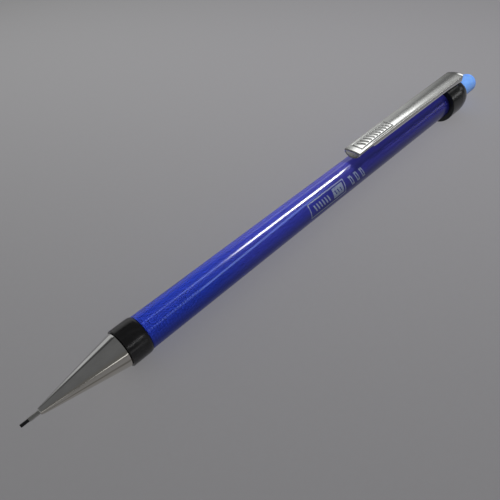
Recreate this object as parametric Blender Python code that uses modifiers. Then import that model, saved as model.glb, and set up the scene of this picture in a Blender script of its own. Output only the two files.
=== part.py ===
"""A push-button mechanical pencil, lying along X with its writing tip at -X and its clip on top.

Lengths are in millimetres and are scaled to metres where a mesh is made. "Station" is the distance from the
tip of the lead along the pencil's axis. Every turned piece is an outline of (station, radius) points.
"""

import math

import bmesh
import bpy
from mathutils import Matrix, Vector

MM = 0.001

# Driving dimensions
LENGTH = 147.2
BARREL_RADIUS = 3.5
CAP_RADIUS = 4.85
COLLAR_RADIUS = 3.73
BUTTON_RADIUS = 2.7
LEAD_RADIUS = 0.285
STROKE = 4.0  # how far the button pushes the chuck forward

# Clearances
FIT = 0.03  # radial, between pieces that slide or press together
PRESS = 0.02

# Stations of the visible pieces
SLEEVE_FRONT = 1.4
NOSE_FRONT = 3.25
CONE_REAR = 18.85
COLLAR_FRONT = 18.95
COLLAR_REAR = 23.3
BARREL_FRONT = 23.35
BARREL_REAR = 131.8
CAP_FRONT = 128.5
CAP_REAR = 138.25
BUTTON_FRONT = 136.4
CLIP_FRONT = 86.6
CLIP_REAR = 138.3

# Bores and inner radii
SLEEVE_RADIUS = 0.38
BARREL_BORE = 2.6
TUBE_RADIUS = 2.05
TUBE_BORE = 1.62
CLUTCH_RADIUS = 1.8
SPIGOT_RADIUS = 2.48  # of the collar, in the cone's thread
SPIGOT_FRONT = 16.2
RETAINER_FRONT = 8.2
RETAINER_RADIUS = 1.0
CHUCK_RADIUS = 0.88
LEAD_PASSAGE = 0.45
BUTTON_BORE = 2.28
ERASER_RADIUS = 1.82
CONE_BASE_RADIUS = 3.37

# Grip rings moulded round the front of the barrel
RING_COUNT = 20
RING_PITCH = 0.6
RING_DEPTH = 0.06
RING_START = 24.0

# Chuck
JAW_COUNT = 3
JAW_FRONT = 15.3
JAW_ROOT = 24.0
JAW_GAP = 0.1
JAW_SECTOR = math.radians(112)
HEAD_RADIUS = 1.3
HEAD_TAPER = 0.129  # radius lost for each millimetre towards the back
RING_FRONT = 15.4
RING_REAR = 18.4
RING_TRAVEL = 0.95  # carried forward by the jaws before it meets the cone

# Return spring
SPRING_RADIUS = 1.62
SPRING_WIRE = 0.16
SPRING_FRONT = 20.2
SPRING_REAR = 32.3
SPRING_TURNS = 9
POINTS_PER_TURN = 12

# Leads
LEAD_LENGTH = 60.0
SPARE_COUNT = 3
SPARE_START = 66.0
SPARE_OFFSET = 1.28
SPARE_SPREAD = math.radians(28)

# Clip: height is measured up from the pencil's axis to the edge where top and flange meet
CLIP_SHEET = 0.42
CLIP_HALF_WIDTH_FRONT = 2.2
CLIP_HALF_WIDTH_REAR = 2.42
CLIP_HEIGHT_FRONT = 5.85
CLIP_HEIGHT_REAR = 6.25
CLIP_CROWN = 0.42
CLIP_FLANGE = 0.85
CLIP_FLANGE_REAR = 1.3  # the flanges deepen a little over the cap
CLIP_EDGE_RADIUS = 0.26
CLIP_NOSE_LENGTH = 7.0  # over which the flanges curl under into a closed nose
CLIP_NOSE_DEPTH = 1.95
CLIP_NOSE_SEAM = 0.12
CLIP_ROUND_END = 2.7
CLIP_PIVOT_STATION = 136.0
CLIP_PIVOT_HEIGHT = 6.0
CLIP_TAB_STATION = 131.4
PANEL_START = 90.6
PANEL_BARS = 9
PANEL_PITCH = 1.35
PANEL_BAR = (0.5, 2.3)
PANEL_DEPTH = 0.14
PANEL_SLANT = math.radians(24)

# Cap seat under the clip
SEAT_FRONT = 129.3
SEAT_REAR = 136.0
SEAT_HALF_WIDTH = 1.65
SEAT_HEIGHT = 5.75

SEGMENTS = 48
SMALL_SEGMENTS = 24
LEAD_SEGMENTS = 16
SHARP_ANGLE = math.radians(35)


def clear_scene():
    for old in list(bpy.data.objects):
        bpy.data.objects.remove(old)


def new_collection(name):
    collection = bpy.data.collections.new(name)
    bpy.context.scene.collection.children.link(collection)
    return collection


def material(name, colour, roughness, metallic=0.0):
    made = bpy.data.materials.new(name)
    made.use_nodes = True
    shader = made.node_tree.nodes["Principled BSDF"]
    shader.inputs["Base Color"].default_value = (*colour, 1.0)
    shader.inputs["Roughness"].default_value = roughness
    shader.inputs["Metallic"].default_value = metallic
    made.diffuse_color = (*colour, 1.0)
    return made


def new_object(name, mesh, station=0.0, height=0.0):
    """An object on the pencil's axis at that station, or that far above it."""
    made = bpy.data.objects.new(name, mesh)
    made.location = Vector((station, 0.0, height)) * MM
    return made


def keep(obj, colour, roughness, metallic=0.0):
    """Bakes an object's modifiers, and puts it among the parts with a material of its own."""
    helpers.objects.link(obj)
    bpy.context.view_layer.update()
    evaluated = obj.evaluated_get(bpy.context.evaluated_depsgraph_get())
    mesh = bpy.data.meshes.new_from_object(evaluated)
    obj.modifiers.clear()
    helpers.objects.unlink(obj)
    parts.objects.link(obj)
    obj.data = mesh
    mesh.name = obj.name
    mesh.materials.clear()
    mesh.materials.append(material(obj.name, colour, roughness, metallic))
    mesh.shade_smooth()
    mesh.set_sharp_from_angle(angle=SHARP_ANGLE)
    obj.parent = axis
    return obj


def turned(name, outline, segments=SEGMENTS, closed=True, at=0.0):
    """An outline of (station, radius) points, rear to front along its outer side, turned about the axis."""
    mesh = bpy.data.meshes.new(name)
    points = [Vector((station - at, radius, 0.0)) * MM for station, radius in outline]
    count = len(points)
    edges = [(i, (i + 1) % count) for i in range(count if closed else count - 1)]
    mesh.from_pydata(points, edges, [])
    obj = new_object(name, mesh, at)
    screw = obj.modifiers.new("Turn", "SCREW")
    screw.axis = "X"
    screw.steps = segments
    screw.render_steps = segments
    screw.use_merge_vertices = True
    screw.merge_threshold = 1e-6
    return obj


def block(name, low, high, slant=0.0):
    """A box between two corners in (station, across, height), turned about its upright axis by slant."""
    mesh = bpy.data.meshes.new(name)
    shape = bmesh.new()
    bmesh.ops.create_cube(shape, size=1.0)
    low, high = Vector(low), Vector(high)
    size = Matrix.Diagonal((*(high - low), 1.0))
    turn = Matrix.Rotation(slant, 4, "Z")
    shape.transform(Matrix.Translation((low + high) / 2) @ turn @ size)
    shape.transform(Matrix.Scale(MM, 4))
    shape.to_mesh(mesh)
    shape.free()
    return bpy.data.objects.new(name, mesh)


def as_cutter(obj):
    obj.hide_render = True
    obj.display_type = "WIRE"
    cutters.objects.link(obj)
    return obj


def boolean(obj, other, operation):
    """Cuts with, or joins, another shape. Both are placed in the pencil's own coordinates."""
    step = obj.modifiers.new(operation.title(), "BOOLEAN")
    step.operation = operation
    step.object = as_cutter(other)


def make_lead(name, start, across=0.0, height=0.0):
    rear = start + LEAD_LENGTH
    outline = [
        (rear, 0.0),
        (rear, LEAD_RADIUS),
        (start + 0.12, LEAD_RADIUS),
        (start, 0.2),
        (start, 0.0),
    ]
    lead = turned(name, outline, LEAD_SEGMENTS, closed=False, at=start)
    lead.location += Vector((0.0, across, height)) * MM
    return keep(lead, (0.03, 0.03, 0.032), 0.45, 0.2)


def make_lead_sleeve():
    bore = LEAD_RADIUS + FIT
    rear = 7.9
    outline = [
        (rear, SLEEVE_RADIUS),
        (SLEEVE_FRONT + 0.12, SLEEVE_RADIUS),
        (SLEEVE_FRONT, SLEEVE_RADIUS - 0.03),
        (SLEEVE_FRONT, bore),
        (rear, bore),
    ]
    sleeve = turned("lead_sleeve", outline, LEAD_SEGMENTS, at=SLEEVE_FRONT)
    return keep(sleeve, (0.55, 0.55, 0.55), 0.3, 1.0)


def make_nose_cone():
    outer = [
        (CONE_REAR, CONE_BASE_RADIUS - 0.1),
        (CONE_REAR - 0.1, CONE_BASE_RADIUS),
        (CONE_REAR - 0.4, CONE_BASE_RADIUS),
        (NOSE_FRONT + 0.5, 0.74),
        (NOSE_FRONT + 0.22, 0.66),
        (NOSE_FRONT + 0.05, 0.56),
        (NOSE_FRONT, 0.48),
    ]
    sleeve_hole = SLEEVE_RADIUS + PRESS
    retainer_seat = RETAINER_FRONT - 0.1
    jaw_room = JAW_FRONT - STROKE - 0.6
    ring_room = RING_FRONT - RING_TRAVEL - 0.05
    thread = SPIGOT_FRONT - 0.1
    bore = [
        (NOSE_FRONT, sleeve_hole),
        (retainer_seat, sleeve_hole),
        (retainer_seat, RETAINER_RADIUS + 0.05),
        (jaw_room, RETAINER_RADIUS + 0.05),
        (jaw_room, 1.62),
        (ring_room, 1.62),
        (ring_room, CLUTCH_RADIUS + 2 * FIT),
        (thread, CLUTCH_RADIUS + 2 * FIT),
        (thread, SPIGOT_RADIUS + FIT),
        (CONE_REAR, SPIGOT_RADIUS + FIT),
    ]
    return keep(turned("nose_cone", outer + bore, at=CONE_REAR), (0.6, 0.6, 0.6), 0.12, 1.0)


def make_lead_retainer():
    rear = RETAINER_FRONT + 2.3
    outline = [
        (rear, RETAINER_RADIUS),
        (RETAINER_FRONT, RETAINER_RADIUS),
        (RETAINER_FRONT, 0.5),
        (RETAINER_FRONT + 0.5, LEAD_RADIUS + FIT),
        (rear - 0.8, LEAD_RADIUS + FIT),
        (rear, 0.65),
    ]
    retainer = turned("lead_retainer", outline, SMALL_SEGMENTS, at=RETAINER_FRONT)
    return keep(retainer, (0.08, 0.08, 0.08), 0.8)


def make_front_collar():
    spigot_rear = 31.0
    shoulder = RING_REAR + 0.05
    chamber = TUBE_RADIUS + 0.1
    outline = [
        (spigot_rear, BARREL_BORE - 0.15),
        (spigot_rear - 0.3, BARREL_BORE - PRESS),
        (COLLAR_REAR, BARREL_BORE - PRESS),
        (COLLAR_REAR, BARREL_RADIUS - 0.08),
        (COLLAR_REAR - 0.12, BARREL_RADIUS + 0.07),
        (COLLAR_REAR - 0.45, COLLAR_RADIUS - 0.06),
        (COLLAR_REAR - 0.9, COLLAR_RADIUS),
        (COLLAR_FRONT + 0.15, COLLAR_RADIUS),
        (COLLAR_FRONT, COLLAR_RADIUS - 0.12),
        (COLLAR_FRONT, SPIGOT_RADIUS),
        (SPIGOT_FRONT + 0.2, SPIGOT_RADIUS),
        (SPIGOT_FRONT, SPIGOT_RADIUS - 0.2),
        (SPIGOT_FRONT, CLUTCH_RADIUS + 2 * FIT),
        (shoulder, CLUTCH_RADIUS + 2 * FIT),
        (shoulder, 1.2),
        (SPRING_FRONT - 0.2, 1.2),
        (SPRING_FRONT - 0.2, chamber),
        (spigot_rear, chamber),
    ]
    return keep(turned("front_collar", outline, at=COLLAR_FRONT), (0.012, 0.012, 0.013), 0.35)


def make_barrel():
    grip = []
    for i in reversed(range(RING_COUNT)):
        groove = RING_START + i * RING_PITCH
        grip += [(groove + RING_PITCH / 2, BARREL_RADIUS), (groove, BARREL_RADIUS - RING_DEPTH)]
    outline = [
        (BARREL_REAR, BARREL_RADIUS - 0.2),
        (BARREL_REAR - 0.2, BARREL_RADIUS),
        *grip,
        (BARREL_FRONT + 0.1, BARREL_RADIUS),
        (BARREL_FRONT, BARREL_RADIUS - 0.1),
        (BARREL_FRONT, BARREL_BORE),
        (BARREL_REAR, BARREL_BORE),
    ]
    return keep(turned("barrel", outline, at=BARREL_FRONT), (0.035, 0.035, 0.5), 0.18)


def make_clutch_ring():
    mouth = HEAD_RADIUS - HEAD_TAPER * (RING_FRONT - JAW_FRONT) + FIT
    throat = HEAD_RADIUS - HEAD_TAPER * (RING_REAR - JAW_FRONT) + FIT
    outline = [
        (RING_REAR, CLUTCH_RADIUS - 0.1),
        (RING_REAR - 0.1, CLUTCH_RADIUS),
        (RING_FRONT + 0.1, CLUTCH_RADIUS),
        (RING_FRONT, CLUTCH_RADIUS - 0.1),
        (RING_FRONT, mouth),
        (RING_REAR, throat),
    ]
    ring = turned("clutch_ring", outline, SMALL_SEGMENTS, at=RING_FRONT)
    return keep(ring, (0.62, 0.45, 0.2), 0.3, 1.0)


def jaw_outline():
    waist = HEAD_RADIUS - HEAD_TAPER * (RING_REAR - JAW_FRONT)
    grip = LEAD_RADIUS + PRESS
    rear = JAW_ROOT - JAW_GAP
    return [
        (rear, waist - 0.06),
        (RING_REAR + 0.2, waist - 0.06),
        (RING_REAR, waist),
        (JAW_FRONT + 0.15, HEAD_RADIUS - HEAD_TAPER * 0.15),
        (JAW_FRONT, HEAD_RADIUS - 0.12),
        (JAW_FRONT, grip),
        (17.5, grip),
        (17.7, LEAD_PASSAGE),
        (rear, LEAD_PASSAGE),
    ]


def sector(name, middle):
    """A wedge of the space round the axis, used to take one jaw out of a turned chuck."""
    reach = 4 * HEAD_RADIUS
    corner = 0.12  # keeps the wedge's edge off the axis, so that the slots between jaws stay even
    angles = [middle - JAW_SECTOR / 2, middle, middle + JAW_SECTOR / 2]
    start = Vector((0.0, math.cos(middle), math.sin(middle))) * corner
    rim = [Vector((0.0, math.cos(a), math.sin(a))) * reach for a in angles]
    shape = bmesh.new()
    front = [shape.verts.new((start + Vector((JAW_FRONT - 1, 0, 0))) * MM)]
    front += [shape.verts.new((p + Vector((JAW_FRONT - 1, 0, 0))) * MM) for p in rim]
    face = shape.faces.new(front)
    swept = bmesh.ops.extrude_face_region(shape, geom=[face])["geom"]
    moved = [v for v in swept if isinstance(v, bmesh.types.BMVert)]
    length = JAW_ROOT - JAW_FRONT + 2
    bmesh.ops.translate(shape, verts=moved, vec=Vector((length * MM, 0, 0)))
    bmesh.ops.recalc_face_normals(shape, faces=shape.faces)
    mesh = bpy.data.meshes.new(name)
    shape.to_mesh(mesh)
    shape.free()
    return bpy.data.objects.new(name, mesh)


def make_chuck_jaws():
    for i in range(JAW_COUNT):
        name = f"chuck_jaw_{i + 1}"
        middle = math.pi / 2 + i * math.tau / JAW_COUNT
        jaw = turned(name, jaw_outline(), SMALL_SEGMENTS)
        boolean(jaw, sector(f"sector_{i + 1}", middle), "INTERSECT")
        jaw = keep(jaw, (0.62, 0.45, 0.2), 0.3, 1.0)
        pivot = Vector((JAW_ROOT, math.cos(middle) * 0.65, math.sin(middle) * 0.65)) * MM
        jaw.data.transform(Matrix.Translation(-pivot))
        jaw.location = pivot


def make_chuck_shank():
    rear = 36.2
    outline = [
        (rear, CHUCK_RADIUS),
        (JAW_ROOT, CHUCK_RADIUS),
        (JAW_ROOT, LEAD_PASSAGE),
        (rear, LEAD_PASSAGE),
    ]
    shank = turned("chuck_shank", outline, SMALL_SEGMENTS, at=JAW_ROOT)
    return keep(shank, (0.62, 0.45, 0.2), 0.3, 1.0)


def make_return_spring():
    curve = bpy.data.curves.new("return_spring", "CURVE")
    curve.dimensions = "3D"
    curve.bevel_depth = SPRING_WIRE * MM
    curve.bevel_resolution = 2
    curve.use_fill_caps = True
    spline = curve.splines.new("POLY")
    count = SPRING_TURNS * POINTS_PER_TURN + 1
    spline.points.add(count - 1)
    for i, point in enumerate(spline.points):
        share = i / (count - 1)
        angle = share * SPRING_TURNS * math.tau
        station = SPRING_FRONT + share * (SPRING_REAR - SPRING_FRONT)
        place = Vector(
            (station, SPRING_RADIUS * math.cos(angle), SPRING_RADIUS * math.sin(angle))
        )
        point.co = (*(place * MM), 1.0)
    spring = bpy.data.objects.new("return_spring", curve)
    helpers.objects.link(spring)
    bpy.context.view_layer.update()
    evaluated = spring.evaluated_get(bpy.context.evaluated_depsgraph_get())
    mesh = bpy.data.meshes.new_from_object(evaluated)
    bpy.data.objects.remove(spring)
    shape = bmesh.new()
    shape.from_mesh(mesh)
    bmesh.ops.remove_doubles(shape, verts=shape.verts, dist=1e-6)
    bmesh.ops.recalc_face_normals(shape, faces=shape.faces)
    shape.to_mesh(mesh)
    shape.free()
    return keep(bpy.data.objects.new("return_spring", mesh), (0.5, 0.5, 0.5), 0.3, 1.0)


def make_tube_connector():
    front, step, rear = 32.6, 36.4, 39.5
    outline = [
        (rear, TUBE_BORE - 0.15),
        (rear - 0.3, TUBE_BORE - 2 * PRESS),
        (step, TUBE_BORE - 2 * PRESS),
        (step, TUBE_RADIUS),
        (front, TUBE_RADIUS),
        (front, CHUCK_RADIUS + FIT),
        (step - 0.15, CHUCK_RADIUS + FIT),
        (step - 0.15, 0.6),
        (step + 1.0, 0.6),
        (rear, 1.3),
    ]
    connector = turned("tube_connector", outline, SMALL_SEGMENTS, at=front)
    return keep(connector, (0.62, 0.45, 0.2), 0.35, 1.0)


def make_magazine_tube():
    front, rear = 36.45, 131.0
    outline = [(rear, TUBE_RADIUS), (front, TUBE_RADIUS), (front, TUBE_BORE), (rear, TUBE_BORE)]
    tube = turned("magazine_tube", outline, SMALL_SEGMENTS, at=front)
    return keep(tube, (0.75, 0.75, 0.72), 0.4)


def make_spare_leads():
    for i in range(SPARE_COUNT):
        angle = -math.pi / 2 + (i - 1) * SPARE_SPREAD
        across = SPARE_OFFSET * math.cos(angle)
        height = SPARE_OFFSET * math.sin(angle)
        make_lead(f"spare_lead_{i + 1}", SPARE_START, across, height)


def make_eraser_holder():
    plug_front, flange, floor, rear = 127.2, 131.1, 132.4, 139.5
    cup = BUTTON_BORE - FIT
    outline = [
        (rear, cup),
        (flange, cup),
        (flange, TUBE_BORE - 2 * PRESS),
        (plug_front + 0.3, TUBE_BORE - 2 * PRESS),
        (plug_front, TUBE_BORE - 0.3),
        (plug_front, 0.0),
    ]
    socket = ERASER_RADIUS + FIT
    inside = [(floor, 0.0), (floor, socket), (rear, socket)]
    holder = turned("eraser_holder", inside + outline, SMALL_SEGMENTS, closed=False, at=plug_front)
    return keep(holder, (0.6, 0.6, 0.6), 0.3, 1.0)


def make_eraser():
    front, rear = 132.5, 143.6
    outline = [
        (rear, 0.0),
        (rear, ERASER_RADIUS - 0.4),
        (rear - 0.15, ERASER_RADIUS - 0.13),
        (rear - 0.5, ERASER_RADIUS),
        (front, ERASER_RADIUS),
        (front, 0.0),
    ]
    eraser = turned("eraser", outline, SMALL_SEGMENTS, closed=False, at=front)
    return keep(eraser, (0.85, 0.85, 0.84), 0.8)


def make_push_button():
    rounding = 1.3
    flat = BUTTON_RADIUS - rounding
    roof = LENGTH - 1.6
    outline = [(LENGTH, 0.0)]
    for i in range(6):
        angle = i / 5 * math.pi / 2
        outline.append(
            (LENGTH - rounding * (1 - math.cos(angle)), flat + rounding * math.sin(angle))
        )
    outline += [
        (BUTTON_FRONT + 0.15, BUTTON_RADIUS),
        (BUTTON_FRONT, BUTTON_RADIUS - 0.12),
        (BUTTON_FRONT, BUTTON_BORE),
        (roof - 0.8, BUTTON_BORE),
        (roof, BUTTON_BORE - 0.8),
        (roof, 0.0),
    ]
    button = turned("push_button", outline, closed=False, at=BUTTON_FRONT)
    return keep(button, (0.12, 0.38, 0.95), 0.4)


def make_end_cap():
    outline = [
        (CAP_REAR, 3.15),
        (CAP_REAR - 0.22, 3.62),
        (CAP_REAR - 0.8, 4.08),
        (CAP_REAR - 1.7, 4.46),
        (CAP_REAR - 2.9, 4.72),
        (CAP_REAR - 4.3, CAP_RADIUS),
        (CAP_FRONT + 0.2, CAP_RADIUS),
        (CAP_FRONT, CAP_RADIUS - 0.16),
        (CAP_FRONT, BARREL_RADIUS + FIT),
        (BARREL_REAR + 0.2, BARREL_RADIUS + FIT),
        (BARREL_REAR + 0.2, BUTTON_RADIUS + 0.12),
        (CAP_REAR, BUTTON_RADIUS + 0.12),
    ]
    cap = turned("end_cap", outline)
    seat = block(
        "seat",
        (SEAT_FRONT, -SEAT_HALF_WIDTH, BARREL_RADIUS + 0.3),
        (SEAT_REAR, SEAT_HALF_WIDTH, SEAT_HEIGHT),
    )
    soften(seat, 0.2)
    slot = block(
        "tab_slot",
        (CLIP_TAB_STATION - 0.42, -1.3, 4.5),
        (CLIP_TAB_STATION + 0.42, 1.3, SEAT_HEIGHT + 1.0),
    )
    boolean(cap, seat, "UNION")
    boolean(cap, slot, "DIFFERENCE")
    return keep(cap, (0.015, 0.015, 0.017), 0.35)


def soften(obj, width):
    bevel = obj.modifiers.new("Soften", "BEVEL")
    bevel.width = width * MM
    bevel.segments = 2
    bevel.limit_method = "ANGLE"


def clip_stations():
    """Stations along the clip, closer together at its nose and its rounded end."""
    nose = [CLIP_FRONT + CLIP_NOSE_LENGTH * (i / 7) ** 1.3 for i in range(8)]
    straight_rear = CLIP_REAR - CLIP_ROUND_END
    straight = [nose[-1] + (straight_rear - nose[-1]) * i / 4 for i in range(1, 5)]
    turns = [i / 7 * math.pi / 2 for i in range(1, 8)]
    return nose + straight + [straight_rear + CLIP_ROUND_END * math.sin(a) for a in turns]


def clip_section(station, inset):
    """Points round one section of the clip's sheet, from one flange over the top to the other.

    inset is 0 for the outer skin and the sheet's thickness for the inner one.
    """
    share = (station - CLIP_FRONT) / (CLIP_REAR - CLIP_FRONT)
    half = CLIP_HALF_WIDTH_FRONT + share * (CLIP_HALF_WIDTH_REAR - CLIP_HALF_WIDTH_FRONT)
    edge = CLIP_HEIGHT_FRONT + share * (CLIP_HEIGHT_REAR - CLIP_HEIGHT_FRONT)
    past = max(0.0, station - (CLIP_REAR - CLIP_ROUND_END)) / CLIP_ROUND_END
    narrowing = math.sqrt(max(0.0, 1 - past**2))
    nose = max(0.0, 1 - (station - CLIP_FRONT) / CLIP_NOSE_LENGTH)
    nose = nose * nose * (3 - 2 * nose)
    half_in = max(0.0, half - inset)
    width = half_in * narrowing
    crown = CLIP_CROWN * narrowing**2 * (1 - 0.7 * nose)
    top = edge + crown - inset - 0.35 * (1 - narrowing)
    rounding = min(max(CLIP_EDGE_RADIUS - inset / 2, 0.1), 0.6 * width)
    half_section = []
    for a in (0.0, 0.35, 0.65):
        half_section.append((a * (width - rounding), top - crown * a * a))
    shoulder = top - crown * 0.8
    for angle in (math.radians(20), math.radians(55), math.radians(90)):
        half_section.append(
            (
                width - rounding + rounding * math.sin(angle),
                shoulder - rounding * (1 - math.cos(angle)),
            )
        )
    over_cap = min(1.0, max(0.0, (station - CAP_FRONT) / (CLIP_PIVOT_STATION - CAP_FRONT)))
    bottom = edge - CLIP_FLANGE - over_cap * (CLIP_FLANGE_REAR - CLIP_FLANGE)
    start = half_section[-1][1]
    belly = edge - CLIP_NOSE_DEPTH + inset
    for f in (0.25, 0.5, 0.75, 1.0):
        straight = (width, start + f * (bottom - start))
        sweep = f * math.pi / 2
        curled = (
            CLIP_NOSE_SEAM + (width - CLIP_NOSE_SEAM) * math.cos(sweep),
            start + (belly - start) * math.sin(sweep),
        )
        half_section.append(
            (
                straight[0] + (curled[0] - straight[0]) * nose,
                straight[1] + (curled[1] - straight[1]) * nose,
            )
        )
    left = [(-across, height) for across, height in reversed(half_section[1:])]
    return left + half_section


def clip_mesh():
    """The clip's sheet as one closed skin: an outer and an inner loft, joined along the sheet's edge."""
    stations = clip_stations()
    shape = bmesh.new()
    skins = []
    for inset in (0.0, CLIP_SHEET):
        rows = []
        for station in stations:
            place = CLIP_FRONT + (station - CLIP_FRONT) * (
                1 - inset / (CLIP_REAR - CLIP_FRONT)
            )
            rows.append(
                [
                    shape.verts.new(Vector((place, across, height)) * MM)
                    for across, height in clip_section(station, inset)
                ]
            )
        skins.append(rows)
    outer, inner = skins
    across = len(outer[0])
    for i in range(len(stations) - 1):
        for j in range(across - 1):
            shape.faces.new(
                (outer[i][j], outer[i + 1][j], outer[i + 1][j + 1], outer[i][j + 1])
            )
            shape.faces.new(
                (inner[i][j], inner[i][j + 1], inner[i + 1][j + 1], inner[i + 1][j])
            )
        for j in (0, across - 1):
            shape.faces.new((outer[i][j], outer[i + 1][j], inner[i + 1][j], inner[i][j]))
    for j in range(across - 1):
        shape.faces.new((outer[0][j], outer[0][j + 1], inner[0][j + 1], inner[0][j]))
    bmesh.ops.remove_doubles(shape, verts=shape.verts, dist=1e-6)
    bmesh.ops.recalc_face_normals(shape, faces=shape.faces)
    mesh = bpy.data.meshes.new("clip")
    shape.to_mesh(mesh)
    shape.free()
    return mesh


def clip_top(station):
    share = (station - CLIP_FRONT) / (CLIP_REAR - CLIP_FRONT)
    return CLIP_HEIGHT_FRONT + share * (CLIP_HEIGHT_REAR - CLIP_HEIGHT_FRONT) + CLIP_CROWN


def make_clip():
    clip = bpy.data.objects.new("clip", clip_mesh())
    tab = block(
        "clip_tab",
        (CLIP_TAB_STATION - CLIP_SHEET / 2, -1.1, 4.75),
        (CLIP_TAB_STATION + CLIP_SHEET / 2, 1.1, clip_top(CLIP_TAB_STATION) - CLIP_SHEET / 2),
    )
    boolean(clip, tab, "UNION")
    long, wide = PANEL_BAR[1] / 2, PANEL_BAR[0] / 2
    for i in range(PANEL_BARS):
        station = PANEL_START + i * PANEL_PITCH
        floor = clip_top(station) - PANEL_DEPTH
        bar = block(
            f"panel_bar_{i + 1}",
            (station - wide, -long, floor),
            (station + wide, long, floor + 1.0),
            PANEL_SLANT,
        )
        boolean(clip, bar, "DIFFERENCE")
    clip = keep(clip, (0.62, 0.62, 0.6), 0.15, 1.0)
    pivot = Vector((CLIP_PIVOT_STATION, 0.0, CLIP_PIVOT_HEIGHT)) * MM
    clip.data.transform(Matrix.Translation(-pivot))
    clip.location = pivot


clear_scene()
parts = new_collection("mechanical_pencil")
cutters = new_collection("cutters")
helpers = new_collection("helpers")
axis = bpy.data.objects.new("pencil_axis", None)
axis.location = Vector((-LENGTH / 2, 0.0, CAP_RADIUS)) * MM
parts.objects.link(axis)

make_lead("lead", 0.0)
make_lead_sleeve()
make_nose_cone()
make_lead_retainer()
make_front_collar()
make_barrel()
make_clutch_ring()
make_chuck_jaws()
make_chuck_shank()
make_return_spring()
make_tube_connector()
make_magazine_tube()
make_spare_leads()
make_eraser_holder()
make_eraser()
make_push_button()
make_end_cap()
make_clip()
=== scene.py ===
"""Looks for the push-button mechanical pencil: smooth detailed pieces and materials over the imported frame.

Lengths below are in millimetres. "Station" is the distance from the lead's tip along the pencil's axis, and
an outline is a list of (station, radius) points, with a third number where that corner is rounded.
"""

import math

import bmesh
import bpy
from mathutils import Matrix, Vector


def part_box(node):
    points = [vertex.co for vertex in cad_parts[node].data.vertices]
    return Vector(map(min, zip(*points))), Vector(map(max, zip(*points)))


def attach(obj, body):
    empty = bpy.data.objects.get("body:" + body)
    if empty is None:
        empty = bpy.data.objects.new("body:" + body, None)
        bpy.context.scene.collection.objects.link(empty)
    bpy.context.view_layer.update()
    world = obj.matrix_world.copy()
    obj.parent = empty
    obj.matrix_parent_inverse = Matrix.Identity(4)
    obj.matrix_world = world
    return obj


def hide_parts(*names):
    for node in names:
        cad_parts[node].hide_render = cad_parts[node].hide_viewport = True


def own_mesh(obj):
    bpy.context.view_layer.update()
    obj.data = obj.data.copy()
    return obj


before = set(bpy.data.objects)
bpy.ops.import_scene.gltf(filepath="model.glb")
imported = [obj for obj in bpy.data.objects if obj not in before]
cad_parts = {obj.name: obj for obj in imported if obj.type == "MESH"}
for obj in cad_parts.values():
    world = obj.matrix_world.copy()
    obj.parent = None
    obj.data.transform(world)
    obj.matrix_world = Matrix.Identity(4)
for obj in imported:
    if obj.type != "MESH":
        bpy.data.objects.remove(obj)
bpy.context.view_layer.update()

MM = 0.001
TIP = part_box("lead")[0].x
BARREL_LOW, BARREL_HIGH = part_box("barrel")
AXIS_HEIGHT = (BARREL_LOW.z + BARREL_HIGH.z) / 2

LENGTH = 147.2
BARREL_RADIUS = 3.5
CAP_RADIUS = 4.85
COLLAR_RADIUS = 3.73
BUTTON_RADIUS = 2.7
LEAD_RADIUS = 0.285
SLEEVE_FRONT = 1.4
NOSE_FRONT = 3.25
CONE_REAR = 18.85
COLLAR_FRONT = 18.95
COLLAR_REAR = 23.3
BARREL_FRONT = 23.35
BARREL_REAR = 131.8
CAP_FRONT = 128.5
CAP_REAR = 138.25
BUTTON_FRONT = 136.4

LEAD_LENGTH = 60.0
SPARE_LEADS = 3
SPARE_LEAD_START = 66.0

CLIP_FRONT = 86.6
CLIP_REAR = 138.3
CLIP_SHEET = 0.42
CLIP_NOSE_LENGTH = 7.0
CLIP_ROUND_END = 2.7
CLIP_TAB_STATION = 131.4
CLIP_CROWN = 0.42  # how far the middle of the clip's top stands above its shoulders
CLIP_NOSE_DEPTH = 1.95
CLIP_FLANGE = 0.85
CLIP_FLANGE_EXTRA = 0.45  # how much deeper the flange gets over the cap
CLIP_FLANGE_RUN = 7.5  # the length over which it does so

# The pressed panel on the clip: slanted bars in a thin frame
PANEL_MIDDLE = 95.0
PANEL_REACH = 6.6
PANEL_HALF_WIDTH = 1.45
PANEL_BARS = 9
PANEL_FIRST_BAR = 89.9
PANEL_BAR_PITCH = 1.27
PANEL_BAR_SLANT = math.radians(24)


# ---------------------------------------------------------------- shapes


def rounded(points, closed, steps=5):
    """The outline with its marked corners rounded off."""
    out = []
    count = len(points)
    for i, point in enumerate(points):
        here = Vector(point[:2])
        radius = point[2] if len(point) > 2 else 0.0
        if radius == 0.0 or (not closed and i in (0, count - 1)):
            out.append(here)
            continue
        before = Vector(points[i - 1][:2]) - here
        after = Vector(points[(i + 1) % count][:2]) - here
        half = before.angle(after) / 2
        cut = min(radius / math.tan(half), 0.48 * before.length, 0.48 * after.length)
        start = here + before.normalized() * cut
        end = here + after.normalized() * cut
        for k in range(steps + 1):
            t = k / steps
            out.append(start * (1 - t) ** 2 + here * (2 * t * (1 - t)) + end * t * t)
    return out


def finish_mesh(name, shape, body, look, replaces=(), smooth_angle=50.0):
    """Turns a bmesh into a piece that rides on a CAD body and stands for the CAD nodes named."""
    bmesh.ops.remove_doubles(shape, verts=shape.verts, dist=1e-7)
    bmesh.ops.recalc_face_normals(shape, faces=shape.faces)
    mesh = bpy.data.meshes.new(name)
    shape.to_mesh(mesh)
    shape.free()
    mesh.materials.append(look)
    mesh.shade_smooth()
    mesh.set_sharp_from_angle(angle=math.radians(smooth_angle))
    obj = bpy.data.objects.new(name, mesh)
    bpy.context.scene.collection.objects.link(obj)
    weighted = obj.modifiers.new("Weighted", "WEIGHTED_NORMAL")
    weighted.keep_sharp = True
    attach(obj, body)
    if replaces:
        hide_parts(*replaces)
    return obj


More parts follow.
